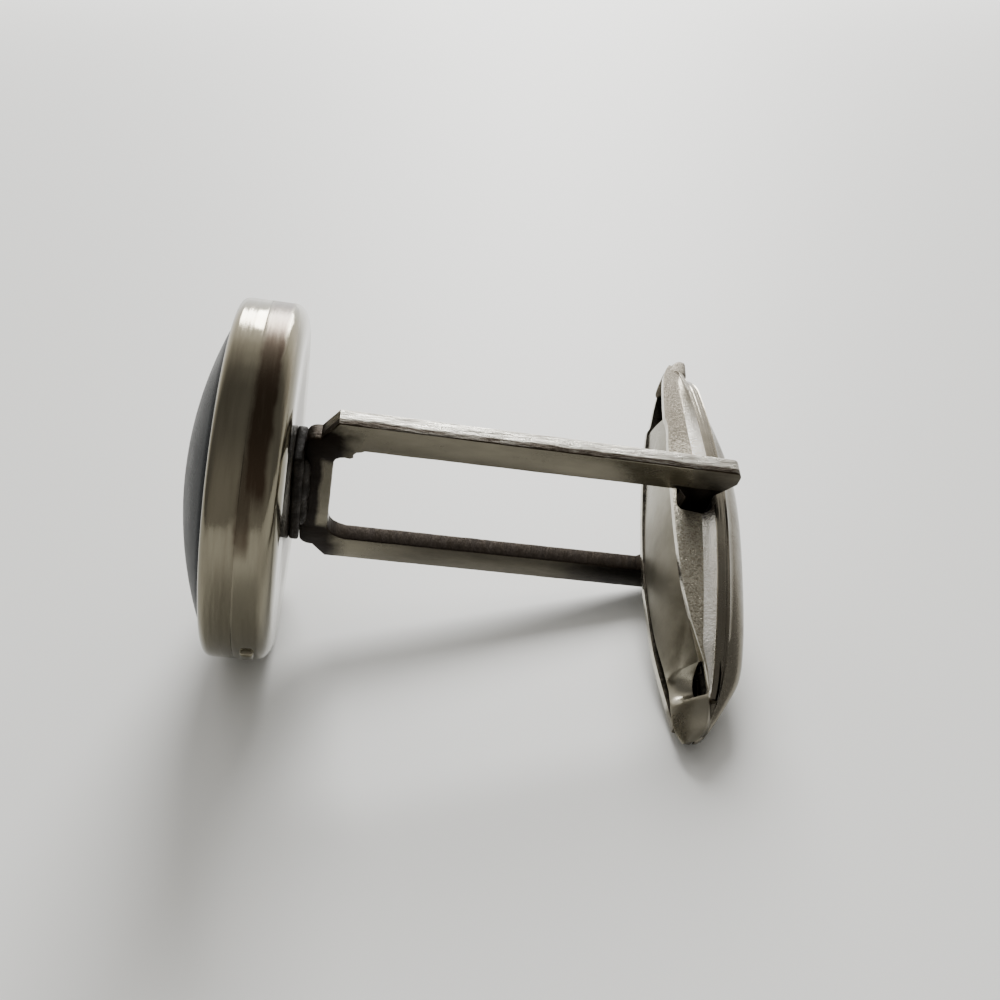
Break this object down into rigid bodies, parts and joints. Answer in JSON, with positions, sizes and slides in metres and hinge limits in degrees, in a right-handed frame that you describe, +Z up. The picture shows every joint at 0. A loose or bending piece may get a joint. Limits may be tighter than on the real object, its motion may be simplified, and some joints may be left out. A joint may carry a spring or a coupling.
{
  "type": "cufflink",
  "caption": "Cufflink with a domed glass face in a round metal rim, an open two-bar post and a turning boat-shaped toggle.",
  "frame": {"origin": "centre of the resting part's bounding box in plan, on the table that it lies on", "axes": "+X from the face towards the toggle, along the post as seen from above; +Z up; +Y away from the viewer, towards the toggle's far tip"},
  "size_m": [0.0228, 0.0192, 0.014],
  "materials": {
    "face_metal": "polished white-metal plating",
    "glass_dome": "clear glass over a dark blue-grey ground",
    "foil": "thin coloured foil",
    "cement": "set cement",
    "brazed_metal": "heat-darkened braze",
    "post_metal": "plated stamping with sheared edges",
    "toggle_wall_metal": "grainy plated sheet",
    "toggle_metal": "polished plating",
    "spring_steel": "spring steel"
  },
  "bodies": {
    "face_and_post": {"bezel_ring": "face_metal", "back_cup": "face_metal", "cabochon": "glass_dome", "backing_foil": "foil", "cement_bed": "cement", "foot_pad": "brazed_metal", "braze_beads": "brazed_metal", "post_frame": "post_metal"},
    "toggle": {"toggle_walls": "toggle_wall_metal", "toggle_back": "toggle_metal", "cuff_plate": "toggle_metal", "leaf_spring": "spring_steel"}
  },
  "joints": [
    {"name": "toggle_swivel", "type": "hinge", "parent": "face_and_post", "child": "toggle", "pos_m": [0.00856, 0, 0.00394], "axis": [0.1624, -0.3562, 0.9202], "range_deg": [-82.5, 97.5]}
  ]
}
